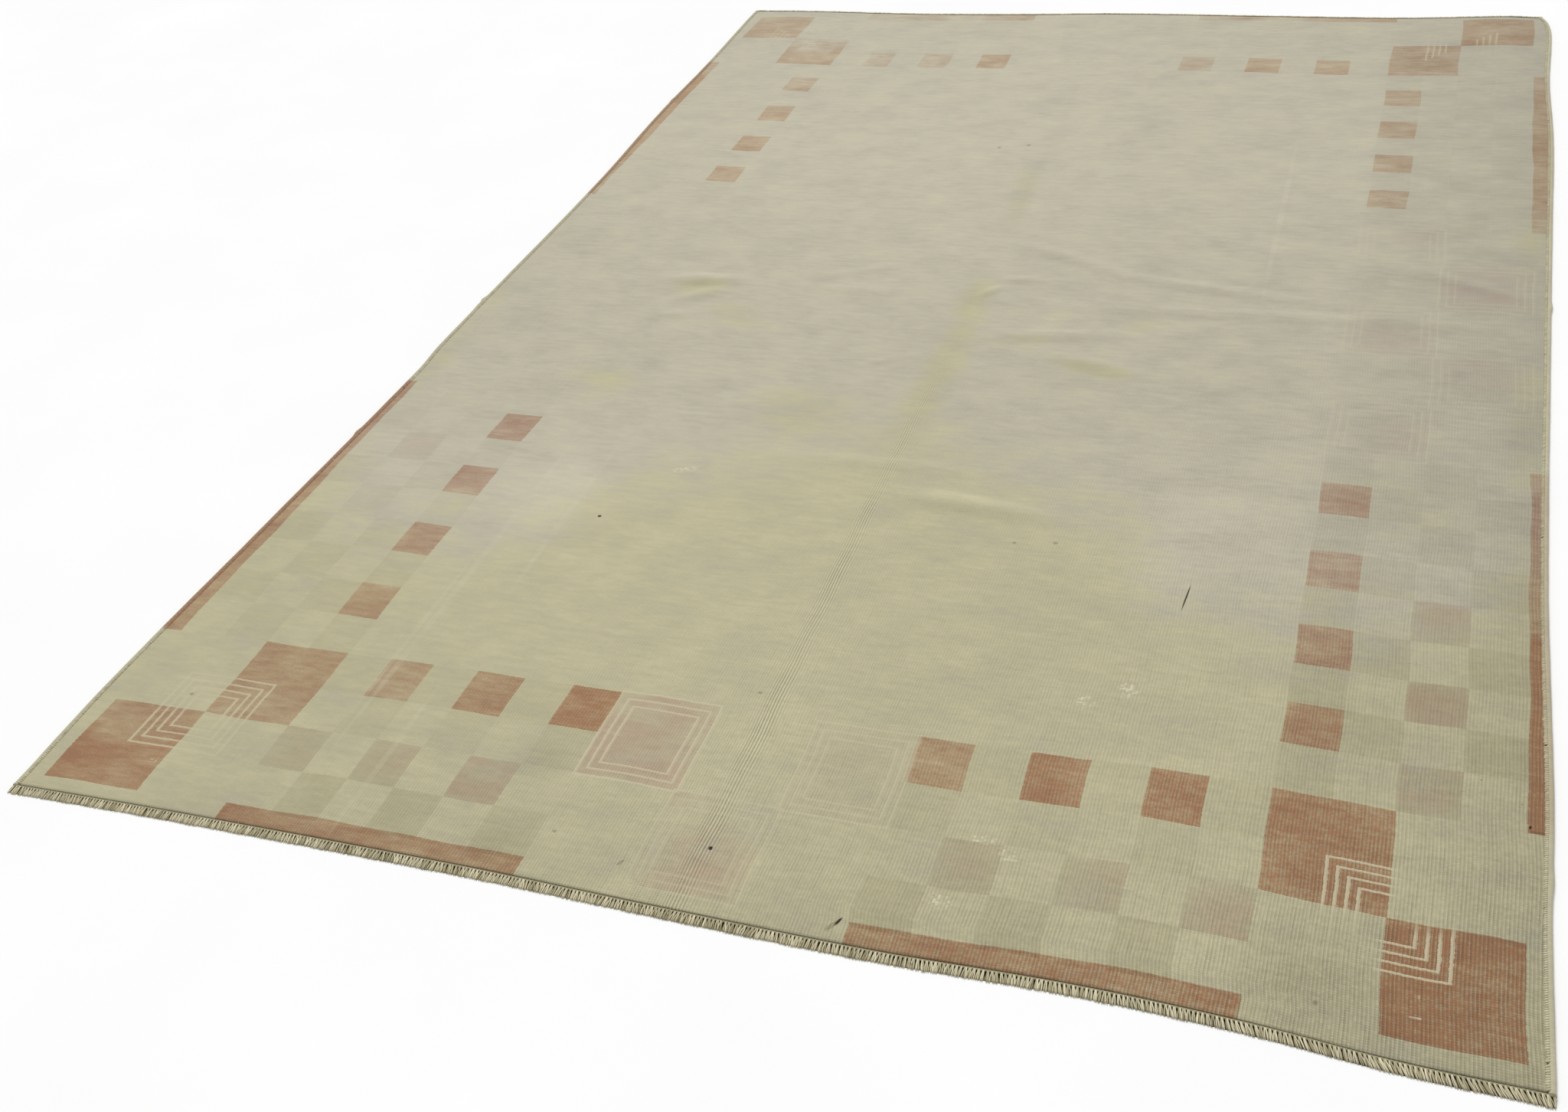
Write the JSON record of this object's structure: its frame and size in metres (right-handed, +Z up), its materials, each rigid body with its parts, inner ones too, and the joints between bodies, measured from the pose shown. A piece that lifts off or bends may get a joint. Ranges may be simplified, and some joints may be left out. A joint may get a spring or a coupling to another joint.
{
  "type": "anatolian rug",
  "caption": "Flat worn Anatolian rug with a pale sage ground, a border of faded terracotta squares and bars, overcast sides and a short cut fringe at both ends.",
  "frame": {"origin": "middle of the rug's outline, on the floor", "axes": "+X across the rug, +Y along it towards the far fringe, +Z up out of the pile"},
  "size_m": [1.9768, 3.0426, 0.0108],
  "materials": {
    "knotted_field": "worn, clipped wool pile on a cotton ground, matt, with faded terracotta squares",
    "overcast_cord": "matt wool yarn wound round the side warps",
    "warp_fringe": "matt cream cotton warp ends, cut short"
  },
  "bodies": {
    "root": {"rug_field": "knotted_field", "side_cord_left": "overcast_cord", "side_cord_right": "overcast_cord", "fringe_near": "warp_fringe", "fringe_far": "warp_fringe"}
  },
  "joints": []
}
